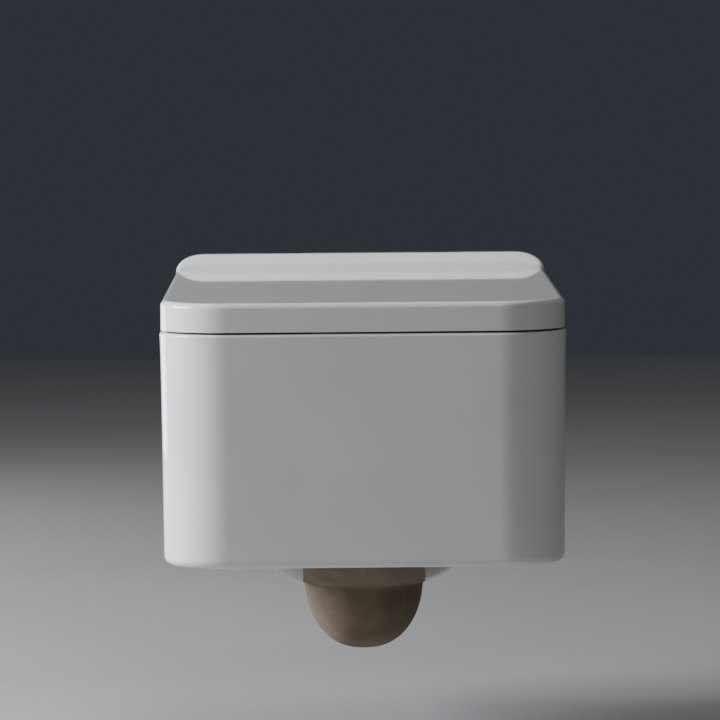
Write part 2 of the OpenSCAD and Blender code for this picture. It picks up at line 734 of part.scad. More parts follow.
// Flat wire spring that pushes the slide back
module release_spring(s) color("silver") {
  turns = 4;
  coil_r = 0.85;
  wire_r = 0.18;
  steps = 8;
  sides = 6;
  y0 = fix_y + slide_tail + 0.1 + wire_r;
  l = slot_end - 0.1 - wire_r - y0;
  rings = [
    for (k = [0:turns * steps])
      let (a = 360 * k / steps, y = y0 + l * k / (turns * steps))
        [
          for (i = [0:sides - 1])
            let (b = 360 * i / sides, r = coil_r + wire_r * cos(b))
              [r * cos(a), y + wire_r * sin(b), r * sin(a)]
        ]
  ];
  for (x = [-4, 4]) translate([s * fix_x + x, 0, slide_z + slide_t / 2]) loft(rings);
}

module damper(s) color("gray") difference() {
  x = s * fix_x;
  rod_x(x - block_w / 2 + 0.5, x + block_w / 2 - 0.5, axis_y, axis_z, damper_r);
  rod_x(x - block_w, x + block_w, axis_y, axis_z, pivot_r + pin_gap);
}
module seat_damper() damper(-1);
module lid_damper() damper(1);

module pivot_pin(s) color("silver") {
  a = s * (lid_lug_in + 1);
  b = s * (seat_lug_in + lug_w - 1);
  rod_x(min(a, b), max(a, b), axis_y, axis_z, pivot_r);
}

// Plain bearing bush in a lug that turns on the pin
module lug_bush(x0) color("gainsboro") difference() {
  rod_x(x0 + 0.5, x0 + lug_w - 0.5, axis_y, axis_z, pivot_r + pin_gap + bush_ring);
  rod_x(x0 - over, x0 + lug_w + over, axis_y, axis_z, pivot_r + pin_gap);
}
module seat_bush_right() lug_bush(seat_lug_in);
module lid_bush_left() lug_bush(-lid_lug_in - lug_w);

pan();
flush_diffuser();
inlet_seal();
seat_ring();
lid();
fixing_bush(-1);  // fixing_bush_left
fixing_bush(1);  // fixing_bush_right
fixing_washer(-1);  // fixing_washer_left
fixing_washer(1);  // fixing_washer_right
fixing_nut(-1);  // fixing_nut_left
fixing_nut(1);  // fixing_nut_right
seat_buffer(-1, pad_front_y);  // seat_buffer_front_left
seat_buffer(1, pad_front_y);  // seat_buffer_front_right
seat_buffer(-1, pad_rear_y);  // seat_buffer_rear_left
seat_buffer(1, pad_rear_y);  // seat_buffer_rear_right
lid_buffer(-1);  // lid_buffer_left
lid_buffer(1);  // lid_buffer_right
base_washer(-1);  // base_washer_left
base_washer(1);  // base_washer_right
base_disc(-1);  // base_disc_left
base_disc(1);  // base_disc_right
fixing_pin(-1);  // fixing_pin_left
fixing_pin(1);  // fixing_pin_right
expansion_sleeve(-1);  // expansion_sleeve_left
expansion_sleeve(1);  // expansion_sleeve_right
sleeve_nut(-1);  // sleeve_nut_left
sleeve_nut(1);  // sleeve_nut_right
hinge_block(-1);  // hinge_block_left
hinge_block(1);  // hinge_block_right
release_slide(-1);  // release_slide_left
release_slide(1);  // release_slide_right
release_spring(-1);  // release_spring_left
release_spring(1);  // release_spring_right
seat_damper();
lid_damper();
pivot_pin(-1);  // pivot_pin_left
pivot_pin(1);  // pivot_pin_right
seat_bush_right();
lid_bush_left();
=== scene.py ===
# %% [markdown]
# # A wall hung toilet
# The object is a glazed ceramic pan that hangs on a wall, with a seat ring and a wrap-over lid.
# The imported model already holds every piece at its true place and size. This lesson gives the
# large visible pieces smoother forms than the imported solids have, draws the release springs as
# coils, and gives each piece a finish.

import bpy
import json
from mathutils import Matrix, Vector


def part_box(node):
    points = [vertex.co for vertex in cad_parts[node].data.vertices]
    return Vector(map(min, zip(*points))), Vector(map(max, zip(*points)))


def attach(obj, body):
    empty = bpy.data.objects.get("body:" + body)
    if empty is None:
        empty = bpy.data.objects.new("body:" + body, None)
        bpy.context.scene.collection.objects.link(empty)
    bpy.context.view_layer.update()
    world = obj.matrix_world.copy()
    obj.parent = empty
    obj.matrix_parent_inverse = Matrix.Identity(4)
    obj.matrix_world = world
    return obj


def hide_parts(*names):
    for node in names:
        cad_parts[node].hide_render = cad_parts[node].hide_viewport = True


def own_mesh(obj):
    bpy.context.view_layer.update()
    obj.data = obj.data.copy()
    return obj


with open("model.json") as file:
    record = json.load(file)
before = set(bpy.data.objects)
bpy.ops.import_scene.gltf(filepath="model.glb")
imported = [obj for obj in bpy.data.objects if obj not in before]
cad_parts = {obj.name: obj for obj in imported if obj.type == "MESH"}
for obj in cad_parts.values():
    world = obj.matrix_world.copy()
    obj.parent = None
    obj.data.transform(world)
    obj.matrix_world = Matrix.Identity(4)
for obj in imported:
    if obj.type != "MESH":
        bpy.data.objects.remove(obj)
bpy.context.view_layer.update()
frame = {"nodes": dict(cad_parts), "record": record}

import json
import math

import bmesh
import bpy
from mathutils import Matrix, Vector

# %% [markdown]
# All drawing is done in millimetres, as on a maker's drawing, and turned into metres when a mesh
# is made. The camera comes first, because the picture is judged from it. The photograph was taken
# from almost six metres away with a long lens, a little above the lid, so parallel edges stay
# nearly parallel. A long lens here gives the same flat perspective.

# %% The camera
MM = 0.001
EYE = (-27, -5801, 418)
YAW, PITCH, ROLL = math.radians(0.26), math.radians(-3.93), math.radians(-0.49)
SENSOR, PICTURE_PX, FOCAL_PX = 36, 720, 5868

lens = bpy.data.cameras.new("photo_camera")
lens.sensor_width = SENSOR
lens.lens = SENSOR * FOCAL_PX / PICTURE_PX
lens.clip_end = 50
camera = bpy.data.objects.new("photo_camera", lens)
bpy.context.collection.objects.link(camera)
turned = Matrix.Rotation(-YAW, 4, "Z")
tilted = Matrix.Rotation(math.pi / 2 + PITCH, 4, "X")
rolled = Matrix.Rotation(ROLL, 4, "Z")
camera.matrix_world = Matrix.Translation([c * MM for c in EYE]) @ (turned @ tilted @ rolled)
bpy.context.scene.camera = camera
print("camera at", EYE, "mm, lens", round(lens.lens, 1), "mm")

# %% [markdown]
# A mesh is a list of points and a list of faces. One helper makes it, welds points that fall
# together and turns all faces outwards, because cutting one solid with another needs closed
# shapes. Two more helpers cut or join solids, and shade a finished piece: faces that meet at a
# small angle look smooth, and large flat faces keep their own direction.

# %% Helpers that make and finish a mesh
WELD, FINE_WELD, TINY = 0.00001, 0.000005, 0.000001


def solid(name, points, faces):
    mesh = bpy.data.meshes.new(name)
    mesh.from_pydata([[c * MM for c in p] for p in points], [], faces)
    b = bmesh.new()
    b.from_mesh(mesh)
    bmesh.ops.remove_doubles(b, verts=b.verts, dist=WELD)
    bmesh.ops.recalc_face_normals(b, faces=b.faces)
    b.to_mesh(mesh)
    b.free()
    piece = bpy.data.objects.new(name, mesh)
    bpy.context.collection.objects.link(piece)
    return piece


def bake(piece):
    graph = bpy.context.evaluated_depsgraph_get()
    done = bpy.data.meshes.new_from_object(piece.evaluated_get(graph))
    piece.modifiers.clear()
    old, piece.data = piece.data, done
    bpy.data.meshes.remove(old)


def combine(piece, tools, how):
    for tool in tools:
        step = piece.modifiers.new("combine", "BOOLEAN")
        step.operation, step.object, step.solver = how, tool, "EXACT"
        bake(piece)


def discard(*tools):
    for tool in tools:
        bpy.data.objects.remove(tool)


def shade(piece, angle=32):
    b = bmesh.new()
    b.from_mesh(piece.data)
    bmesh.ops.remove_doubles(b, verts=b.verts, dist=FINE_WELD)
    bmesh.ops.dissolve_degenerate(b, edges=b.edges, dist=TINY)
    bmesh.ops.holes_fill(b, edges=[e for e in b.edges if len(e.link_faces) == 1], sides=8)
    b.to_mesh(piece.data)
    b.free()
    piece.data.shade_smooth()
    piece.data.set_sharp_from_angle(angle=math.radians(angle))
    keep = piece.modifiers.new("flat faces stay flat", "WEIGHTED_NORMAL")
    keep.keep_sharp = True
    keep.weight = 100
    bake(piece)
    b = bmesh.new()
    b.from_mesh(piece.data)
    gaps = sum(1 for e in b.edges if len(e.link_faces) != 2)
    print(piece.name, len(b.faces), "faces, open or doubled edges:", gaps)
    b.free()


# %% [markdown]
# Most of this object is lofted: closed rings of points, one above the other, joined by faces. The
# bowl and the trap use rings that lie between an ellipse and a rectangle, which is how hand
# shaped ceramic moulds look. The outer body, the seat and the lid use a rectangle with rounded
# corners. Both kinds of ring get the same number of points at each level, so they join simply.

# %% Rings and lofts
def mix(a, b, t):
    return a + (b - a) * t


def power(v, e):
    return math.copysign(abs(v) ** e, v)


def oval(y, z, facing, a, b, square=2.0, count=96):
    tilt = math.radians(facing)
    ring = []
    for i in range(count):
        turn = 2 * math.pi * i / count
        c, s = power(math.cos(turn), 2 / square), power(math.sin(turn), 2 / square)
        ring.append((a * c, y + b * s * math.sin(tilt), z - b * s * math.cos(tilt)))
    return ring


def box_ring(w, y0, y1, rf, rr, inset, z, fine=16, side=10):
    """A rectangle with front corners of radius rf and rear corners of radius rr, drawn in by inset."""
    half, y0, y1 = w / 2 - inset, y0 + inset, y1 - (inset if rr else 0)
    rf, rr = rf - inset, max(rr - inset, 0.02) if rr else 0.02
    ring = []
    for (cx, cy, r, start) in (
        (half - rr, y1 - rr, rr, 0),
        (-half + rr, y1 - rr, rr, 90),
        (-half + rf, y0 + rf, rf, 180),
        (half - rf, y0 + rf, rf, 270),
    ):
        turns = [math.radians(start + 90 * k / fine) for k in range(fine + 1)]
        corner = [(cx + r * math.cos(t), cy + r * math.sin(t), z) for t in turns]
        if ring:
            ring += between_points(ring[-1], corner[0], side)
        ring += corner
    return ring + between_points(ring[-1], ring[0], side)


def between_points(p, q, parts):
    return [tuple(mix(a, b, k / parts) for a, b in zip(p, q)) for k in range(1, parts)]


def loft(name, rings, loop=False):
    n, m = len(rings[0]), len(rings)
    points = [p for ring in rings for p in ring]
    faces = []
    for k in range(m if loop else m - 1):
        for i in range(n):
            a, b = k * n + i, k * n + (i + 1) % n
            up = ((k + 1) % m - k) * n
            faces.append((a, b, b + up, a + up))
    if not loop:
        faces += [tuple(range(n)), tuple(range((m - 1) * n, m * n))]
    return solid(name, points, faces)


def arc(y, z, r, start, end, parts=8):
    turns = [math.radians(mix(start, end, k / parts)) for k in range(parts + 1)]
    return [(y + r * math.cos(t), z + r * math.sin(t)) for t in turns]


def rod(name, x, y0, y1, z, r):
    return loft(name, [[(p[0] + x, p[1], p[2]) for p in oval(y, z, 0, r, r)] for y in (y0, y1)])


def cross_rod(name, x0, x1, y, z, r, count=64):
    turns = [2 * math.pi * i / count for i in range(count)]
    rim = [(y + r * math.cos(t), z + r * math.sin(t)) for t in turns]
    return loft(name, [[(x, *place) for place in rim] for x in (x0, x1)])


def extrude(name, outline, x0, x1, soften=0.8):
    """An outline in Y and Z, run along X, with its edges rounded a little."""
    piece = loft(name, [[(x, y, z) for y, z in outline] for x in (x0, x1)])
    round_over = piece.modifiers.new("edges", "BEVEL")
    round_over.width, round_over.segments, round_over.limit_method = soften * MM, 3, "ANGLE"
    round_over.angle_limit = math.radians(40)
    bake(piece)
    return piece


# %% [markdown]
# ## The pan
# A pan is cast from liquid clay in plaster moulds, glazed and fired. Its outside is one smooth
# box, slightly narrower at the bottom, with no sharp edge anywhere, because glaze pulls back from
# sharp edges. It could be modelled as a single lofted skin, but the openings for bowl, bolts and
# pipes are easier to cut out of a solid block, so the block is lofted first and then hollowed.

# %% The outer body
PAN_W, FRONT, CORNER_R = 370, -540, 62
RIM_Z, FOOT_Z, DECK_UNDER = 80, -132, 68
TAPER, SKIRT_WALL, BACK_WALL = 2.3, 11, 12
RIM_EDGE, FOOT_EDGE, FOOT_INNER_R, WINDOW_TOP = 3, 8, 3, -32


def pan_ring(inset, z, y1=0):
    return box_ring(PAN_W, FRONT, y1, CORNER_R, 0, inset, z)


levels = [(-o, z) for o, z in arc(-TAPER - FOOT_EDGE, FOOT_Z + FOOT_EDGE, FOOT_EDGE, -90, 0, 10)]
drop = (RIM_Z - RIM_EDGE) - (FOOT_Z + FOOT_EDGE)
for u in (0.85, 0.7, 0.55, 0.42, 0.3, 0.2, 0.12, 0.06, 0.02, 0):
    levels.append((TAPER * u ** 0.55, RIM_Z - RIM_EDGE - drop * u))
levels += [(-o, z) for o, z in arc(-RIM_EDGE, RIM_Z - RIM_EDGE, RIM_EDGE, 0, 90, 8)][1:]
pan_body = loft("pan_body", [pan_ring(o, z) for o, z in levels])

inside = SKIRT_WALL + TAPER
foot_inside = [
    (inside - FOOT_INNER_R + FOOT_INNER_R * math.sin(t), FOOT_Z + FOOT_INNER_R * (1 - math.cos(t)))
    for t in (0.4, 0.8, 1.2, 1.57)
]
hollow = loft(
    "hollow",
    [pan_ring(inside - FOOT_INNER_R, FOOT_Z - 4, -BACK_WALL)]
    + [pan_ring(o, z, -BACK_WALL) for o, z in foot_inside]
    + [pan_ring(inside, DECK_UNDER, -BACK_WALL)],
)
opening_w = 2 * (PAN_W / 2 - inside)
window = loft("window", [box_ring(opening_w, -20, 5, 1, 0, 0, z) for z in (FOOT_Z - 9, WINDOW_TOP)])
combine(pan_body, [hollow, window], "DIFFERENCE")
discard(hollow, window)
print("pan body", PAN_W, "mm wide, walls", SKIRT_WALL, "mm")

# %% [markdown]
# The bowl narrows from a wide mouth to the throat on a quarter circle, then drops into the sump,
# which holds the water. The trap leads up from the sump over a weir and down to the outlet, so
# that water always seals it. Each shape is drawn once and can be grown outwards by the wall's
# thickness, which gives the outside and the inside of the same ceramic wall.

# %% Bowl, sump and trap shapes
BOWL_W, BOWL_FRONT, BOWL_REAR = 280, -500, -160
SUMP_W, SUMP_Y, SUMP_L = 90, -264, 120
DIP_Z, SUMP_Z, WEIR_Z, OUTLET_Z = -161, -226, -117, -100
MOUTH_SQUARE, THROAT_SQUARE, LIP_R = 2.7, 2.1, 4
TRAP_R, SPIGOT_R, SPIGOT_WALL, SPIGOT_L, SPIGOT_GAP = 42, 51, 6, 37, 3
TRAP_END = -SPIGOT_L - SPIGOT_GAP


def bowl_rings(grow, top):
    rings = []
    for k in range(14, -1, -1):
        t = math.pi / 2 * k / 14
        u, f = math.sin(t), math.cos(t) ** 0.88
        half, reach = (SUMP_W / 2 + grow) * f + 2, (SUMP_L / 2 + grow) * f + 2
        rings.append(oval(SUMP_Y, mix(DIP_Z, SUMP_Z, u) - grow, 90, half, reach, THROAT_SQUARE))
    for k in range(26, -1, -1):
        t = math.pi / 2 * k / 26
        u, f = math.sin(t), 1 - math.cos(t)
        front = mix(BOWL_FRONT, SUMP_Y - SUMP_L / 2, f) - grow
        rear = mix(BOWL_REAR, SUMP_Y + SUMP_L / 2, f) + grow
        half = mix(BOWL_W, SUMP_W, f) / 2 + grow
        z = mix(RIM_Z, DIP_Z, u) - grow * u
        square = mix(MOUTH_SQUARE, THROAT_SQUARE, u)
        if z < RIM_Z - LIP_R:
            rings.append(oval((front + rear) / 2, z, 90, half, (rear - front) / 2, square))
    # The mouth opens out into the rim on a soft edge
    middle, reach = (BOWL_FRONT + BOWL_REAR) / 2, (BOWL_REAR - BOWL_FRONT) / 2
    for flare, z in top:
        rings.append(oval(middle, z, 90, BOWL_W / 2 + grow + flare, reach + grow + flare, MOUTH_SQUARE))
    return rings


def curve_row(rows, k, t):
    """A point between row k and the next, on a smooth curve through all the rows."""
    a, b, c, d = (rows[min(max(i, 0), len(rows) - 1)] for i in (k - 1, k, k + 1, k + 2))
    return [
        0.5 * (
            2 * q + (r - p) * t + (2 * p - 5 * q + 4 * r - s) * t * t + (3 * q - p - 3 * r + s) * t ** 3
        )
        for p, q, r, s in zip(a, b, c, d)
    ]


def trap_rings(grow):
    floor_z = SUMP_Z + 4
    throat = (DIP_Z - 5 - floor_z) / 2
    low, crest = floor_z + throat, WEIR_Z + TRAP_R - 5
    bore = SPIGOT_R - SPIGOT_WALL - 1
    rows = [
        (SUMP_Y + 6, low, 0, TRAP_R - 6, throat - 3, 2.2),
        (SUMP_Y + 58, low, 2, TRAP_R - 2, throat - 1, 2.2),
        (TRAP_END - 130, mix(low, crest, 0.08), 30, TRAP_R, throat + 1, 2.2),
        (TRAP_END - 107, mix(low, crest, 0.28), 50, TRAP_R, throat + 3, 2.1),
        (TRAP_END - 84, mix(low, crest, 0.57), 52, TRAP_R, TRAP_R - 8, 2),
        (TRAP_END - 64, mix(low, crest, 0.83), 38, TRAP_R, TRAP_R - 6, 2),
        (TRAP_END - 38, crest, 6, TRAP_R, TRAP_R - 5, 2),
        (TRAP_END - 17, mix(crest, OUTLET_Z, 0.38), -16, TRAP_R + 1, TRAP_R - 2, 2),
        (TRAP_END - 6, OUTLET_Z + 1.5, -4, bore, bore, 2),
        (TRAP_END, OUTLET_Z, 0, bore, bore, 2),
    ]
    smooth = [curve_row(rows, k, t / 4) for k in range(len(rows) - 1) for t in range(4)] + [rows[-1]]
    return [oval(y, z, facing, a + grow, b + grow, square) for y, z, facing, a, b, square in smooth]


INLET_Z, INLET_R, INLET_WALL, INLET_L = 35, 27.5, 7, 70


def duct_rings(grow):
    return [
        oval(-INLET_L, INLET_Z, 180, INLET_R - 0.5 + grow, INLET_R - 0.5 + grow),
        oval(-INLET_L - 26, INLET_Z + 4, 180, INLET_R + 8 + grow, INLET_R - 8 + grow, 2.3),
        oval(BOWL_REAR - 16, INLET_Z + 6, 180, 42 + grow, 11 + grow, 3),
    ]


# %% [markdown]
# The glazed bowl joins the deck in one surface, so the bowl's wall is joined to the outer body
# first, and then the inside is cut from both. The holes for the wall bolts, the flush pipe and the
# seat's fixings are cut last, because a hole is only clean when nothing is joined after it.

# %% Cut the bowl and the holes
UPPER_WALL, BOLT_X, BOLT_HOLE_R, FIX_X, FIX_Y, FIX_HOLE_R = 5, 90, 8.9, 77.5, -66, 8
quarter = [math.pi / 2 * k / 8 for k in range(9)]
lip = [(LIP_R * (1 - math.cos(t)), RIM_Z - LIP_R + LIP_R * math.sin(t)) for t in quarter]
bowl_wall = loft("bowl_wall", bowl_rings(UPPER_WALL, [(0, DECK_UNDER + 4)]))
combine(pan_body, [bowl_wall], "UNION")
bowl_inside = loft("bowl_inside", bowl_rings(0, lip + [(LIP_R, RIM_Z + 2)]))
cutters = [bowl_inside, loft("flush_way", duct_rings(0)), loft("trap_way", trap_rings(0.6))]
cutters.append(rod("inlet_hole", 0, -60, 2, INLET_Z, INLET_R))
cutters.append(rod("inlet_step", 0, -SPIGOT_GAP, 2, INLET_Z, INLET_R + 5.3))
turns = [2 * math.pi * i / 64 for i in range(64)]
circle = [(FIX_HOLE_R * math.cos(t), FIX_Y + FIX_HOLE_R * math.sin(t)) for t in turns]
for side in (-1, 1):
    cutters.append(rod("bolt_hole", side * BOLT_X, -20, 2, 0, BOLT_HOLE_R))
    cutters.append(loft("seat_hole", [[(side * FIX_X + x, y, z) for x, y in circle] for z in (60, 82)]))
combine(pan_body, cutters, "DIFFERENCE")
discard(bowl_wall, *cutters)
shade(pan_body)

# %% [markdown]
# Under the deck the casting is rougher: bowl, trap, water duct and bolt bosses run into each other
# with soft joints, because the clay was smoothed by hand. A crisp union of solids would look
# machined. So the union is rebuilt by voxels a few millimetres wide and then relaxed, which
# rounds each joint as wet clay does.

# %% The casting under the deck
BOSS_R, BOSS_L, VOXEL, CASTING_WALL, INNER_STEP = 20, 38, 2.4, 9, 2.5
casting = loft("pan_casting", bowl_rings(CASTING_WALL, [(0, DECK_UNDER + 2)]))
outside = [
    loft("trap_case", trap_rings(CASTING_WALL)),
    rod("spigot", 0, TRAP_END - 1, -SPIGOT_GAP, OUTLET_Z, SPIGOT_R),
    loft("duct_case", duct_rings(INLET_WALL)),
    rod("inlet_case", 0, -INLET_L - 1, -4, INLET_Z, INLET_R + INLET_WALL),
    rod("boss_left", -BOLT_X, -BOSS_L, -2, 0, BOSS_R),
    rod("boss_right", BOLT_X, -BOSS_L, -2, 0, BOSS_R),
]
combine(casting, outside, "UNION")
ways = [
    loft("bowl_way", bowl_rings(INNER_STEP, [(0, DECK_UNDER + 4)])),
    loft("trap_way", trap_rings(0)),
    rod("spigot_way", 0, TRAP_END - 0.5, 2, OUTLET_Z, SPIGOT_R - SPIGOT_WALL),
    loft("duct_way", duct_rings(0)),
    rod("inlet_way", 0, -INLET_L - 0.5, 2, INLET_Z, INLET_R),
]
combine(casting, ways, "DIFFERENCE")
discard(*outside, *ways)
remesh = casting.modifiers.new("clay", "REMESH")
remesh.mode, remesh.voxel_size = "VOXEL", VOXEL * MM
bake(casting)
relax = casting.modifiers.new("relax", "SMOOTH")
relax.factor, relax.iterations = 0.5, 6
bake(casting)
holes = [rod("bolt_way", side * BOLT_X, -BOSS_L - 5, 5, 0, BOLT_HOLE_R) for side in (-1, 1)]
combine(casting, holes, "DIFFERENCE")
discard(*holes)
shade(casting, 50)

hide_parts("pan")
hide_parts("pan")
for piece in (pan_body, casting):
    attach(piece, "pan")

# %% [markdown]
# ## The lid
# The lid is moulded from urea, a hard glossy plastic that looks like ceramic. It is a thin hood:
# its top rises slightly to the rear, then sweeps up into a ridge that covers the hinges, and the
# ridge ends in rounded shoulders. The hood is one surface: a side profile runs down the length,
# and for each place on it the height falls off towards the side on a rounded edge.

# %% The side profile of the hood
LID_HALF, LID_FRONT, LID_R, LID_BOTTOM = 184, -539, 61, 81.8
LID_FRONT_Z, LID_REAR_Z, RIDGE_Z, FOOT_Y, TOP_Y, CROWN = 108, 114, 128.3, -77, -43, 3
AXIS_Y, AXIS_Z, SWEEP_R, LID_WALL = -38, 106, 24.6, 5
SHOULDER_W, SHOULDER_H, EDGE, NARROWER = 31, 16.5, 5.5, 3.6
slope = (LID_REAR_Z - LID_FRONT_Z) / (FOOT_Y - LID_FRONT)


def hood_profile(t, tail):
    """Side view from behind the front corners to the rear edge, drawn in by the wall t."""
    run, rise = TOP_Y - FOOT_Y, RIDGE_Z - CROWN - LID_REAR_Z
    hollow = (run ** 2 + rise ** 2 - CROWN ** 2) / (2 * (rise + CROWN))
    face = math.degrees(math.asin(run / (hollow + CROWN)))
    centre_z = LID_REAR_Z + hollow
    r = SWEEP_R - t
    level = RIDGE_Z - t - AXIS_Z
    start = math.degrees(math.asin(level / r))
    rows = [mix(LID_FRONT + LID_R, FOOT_Y, k / 12) for k in range(12)]
    rows = [(y, LID_FRONT_Z + slope * (y - LID_FRONT) - t) for y in rows]
    if t < CROWN:
        rows += arc(FOOT_Y, centre_z, hollow + t, -90, -90 + face, 14)
        rows += arc(TOP_Y, RIDGE_Z - CROWN, CROWN - t, 90 + face, 90, 6)
    else:
        end = math.degrees(math.acos((centre_z - RIDGE_Z + t) / (hollow + t)))
        rows += arc(FOOT_Y, centre_z, hollow + t, -90, -90 + end, 20)
    rows += [(AXIS_Y, RIDGE_Z - t)]
    rows = [(y, z, 1.0) for y, z in rows]
    # The rounded top edge fades out down the rear of the ridge
    rows += [(y, z, max((z - AXIS_Z) / level, 0.0)) for y, z in arc(AXIS_Y, AXIS_Z, r, start, -50, 22)]
    return rows + [(y, z, 0.0) for y, z in tail]


def low_of(a, b, k):
    """The lower of two heights, with a soft change from one to the other."""
    h = max(k - abs(a - b), 0) / k
    return min(a, b) - h * h * k / 4


# %% Build a hood from a side profile
REAR_ROUND = 9
DEPTHS = [EDGE * (1 - math.cos(math.pi / 2 * k / 7)) for k in range(8)]
DEPTHS += [7.5, 10, 13, 16, 20, 24, 29, 36]


def hood(name, t, bottom, tail, soft):
    half, front, r = LID_HALF - t, LID_FRONT + t, LID_R - t
    edge = max(EDGE - t, 0.5)
    rows = hood_profile(t, tail)
    depths = [min(d * edge / EDGE if d <= EDGE else d, r) for d in DEPTHS] + [r]

    def fall(d):
        return edge - math.sqrt(max(edge ** 2 - (edge - d) ** 2, 0)) if d < edge else 0

    def shoulder(d):
        inward = max(1 - d / SHOULDER_W, 0)
        return RIDGE_Z - t - SHOULDER_H * (1 - math.sqrt(1 - inward ** 2))

    def rear_limit(d):
        inward = max(REAR_ROUND - d, 0)
        return AXIS_Y + SWEEP_R + 1 - REAR_ROUND + math.sqrt(REAR_ROUND ** 2 - inward ** 2)

    def column(x, y, x_in, y_in):
        line = []
        for d in depths:
            px, py = x + x_in * d, y + y_in * d
            line.append((px, py, LID_FRONT_Z + slope * (py - LID_FRONT) - t - fall(d)))
        return line

    def row(side, y, z, share):
        line = []
        back = min((y - LID_FRONT - LID_R) / (FOOT_Y - LID_FRONT - LID_R), 1)
        for d in depths:
            low = max(low_of(z - fall(d) * share, shoulder(d), soft), bottom)
            along = min(y, rear_limit(d)) if z > 60 else y
            line.append((side * (half - NARROWER * back - d), along, low if z > bottom else bottom))
        return line

    columns = [row(-1, *place) for place in reversed(rows)]
    corners = [math.radians(90 * k / 20) for k in range(1, 21)]
    for a in corners:
        cx, cy = -(half - r), front + r
        columns.append(column(cx - r * math.cos(a), cy - r * math.sin(a), math.cos(a), math.sin(a)))
    for k in range(1, 9):
        columns.append(column(mix(-(half - r), half - r, k / 8), front, 0, 1))
    for a in reversed(corners[:-1]):
        cx, cy = half - r, front + r
        columns.append(column(cx + r * math.cos(a), cy - r * math.sin(a), -math.cos(a), math.sin(a)))
    columns += [row(1, *place) for place in rows]

    n, last, count = len(depths), len(depths) - 1, len(rows)
    points = [p for line in columns for p in line]
    faces = []
    for c in range(len(columns) - 1):
        for j in range(last):
            a = c * n + j
            faces.append((a, a + 1, a + n + 1, a + n))
    total = len(columns)
    for k in range(count - 2):
        faces.append(tuple(c * n + last for c in (k, k + 1, total - 2 - k, total - 1 - k)))
    faces.append(tuple(c * n + last for c in range(count - 2, total - count + 2)))
    # The upright walls, the two flat sides and the underside
    first = len(points)
    band = range(count - 1, total - count + 1)
    points += [(columns[c][0][0], columns[c][0][1], bottom) for c in band]
    for i, c in enumerate(list(band)[:-1]):
        faces.append((c * n, (c + 1) * n, first + i + 1, first + i))
    faces.append(tuple([c * n for c in range(count)] + [first]))
    faces.append(tuple([c * n for c in range(total - count, total)][::-1] + [first + len(band) - 1]))
    under = [first + i for i in range(len(band))]
    under += [(total - 1) * n + j for j in range(n)] + [j for j in range(last, -1, -1)]
    faces.append(tuple(under))
    return solid(name, points, faces)


tail_out = [(AXIS_Y + SWEEP_R * math.sin(a), AXIS_Z - SWEEP_R * math.cos(a)) for a in (0.52, 0.35, 0.2)]
tail_out += [(AXIS_Y, LID_BOTTOM)]
lid_shell = hood("lid_shell", 0, LID_BOTTOM, tail_out, 2.5)
tail_in = [(AXIS_Y + 30.6 * 0.643, AXIS_Z - 30.6 * 0.766), (AXIS_Y, LID_BOTTOM - 30)]
lid_inside = hood("lid_inside", LID_WALL, LID_BOTTOM - 30, tail_in, 1.5)
combine(lid_shell, [lid_inside], "DIFFERENCE")
discard(lid_inside)
print("hood made")

# %% [markdown]
# The rear wall of the ridge is cut away where it would meet the hinge blocks as the lid opens. The
# lugs that hold the lid on its pins hang from the ridge, hidden from the front. They are separate
# solids pushed into the shell, as moulded ribs are.

# %% Notches and lugs of the lid
LUG_R, LOOSE_BORE, CLOSE_BORE = 12, 5.75, 4.02
notches = []
for side in (-1, 1):
    a, b = sorted((side * 57, side * 97.5))
    rim = [(-33, 80), (8, 80), (8, 130.5), (-33, 130.5)]
    notches.append(loft("notch", [[(x, y, z) for y, z in rim] for x in (a, b)]))
combine(lid_shell, notches, "DIFFERENCE")
discard(*notches)
shade(lid_shell)

lug_line = arc(AXIS_Y, AXIS_Z, LUG_R, 0, -180, 28) + [(-46, 120), (-45, 124), (-36, 126), (-31, 124)]
lid_pieces = [lid_shell]
for side, bore in ((-1, LOOSE_BORE), (1, CLOSE_BORE)):
    a, b = sorted((side * 49.4, side * 63.4))
    lug = extrude("lid_lug_left" if side < 0 else "lid_lug_right", lug_line, a, b)
    hole = cross_rod("hole", a - 5, b + 5, AXIS_Y, AXIS_Z, bore)
    combine(lug, [hole], "DIFFERENCE")
    discard(hole)
    shade(lug)
    lid_pieces.append(lug)
for piece in lid_pieces:
    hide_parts("lid")
    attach(piece, "lid")

# %% [markdown]
# ## The seat
# The seat is a thick ring of the same plastic. Its section is a flat oval, rounded most at the top
# edges where people sit. A loft that runs round its own section and closes on itself gives this in
# one go. Two arms at the rear reach up to the hinge pins.

# %% The seat ring and its arms
SEAT_W, SEAT_FRONT, SEAT_REAR, SEAT_Z, SEAT_T = 354, -532, -92, 83.5, 16
HOLE_W, HOLE_FRONT, HOLE_L = 228, -470, 306


def seat_rings():
    top = SEAT_Z + SEAT_T
    outer = [(2 - o, z) for o, z in arc(0, SEAT_Z + 2, 2, -90, 0, 5)]
    outer += [(5 - o, z) for o, z in arc(0, top - 5, 5, 0, 90, 9)]
    inner = [(5 - o, z) for o, z in arc(0, top - 5, 5, 90, 0, 9)]
    inner += [(2 - o, z) for o, z in arc(0, SEAT_Z + 2, 2, 0, -90, 5)]
    rings = [box_ring(SEAT_W, SEAT_FRONT, SEAT_REAR, 54, 16, o, z) for o, z in outer]
    rings += [box_ring(HOLE_W, HOLE_FRONT, HOLE_FRONT + HOLE_L, 96, 70, -o, z) for o, z in inner]
    return rings


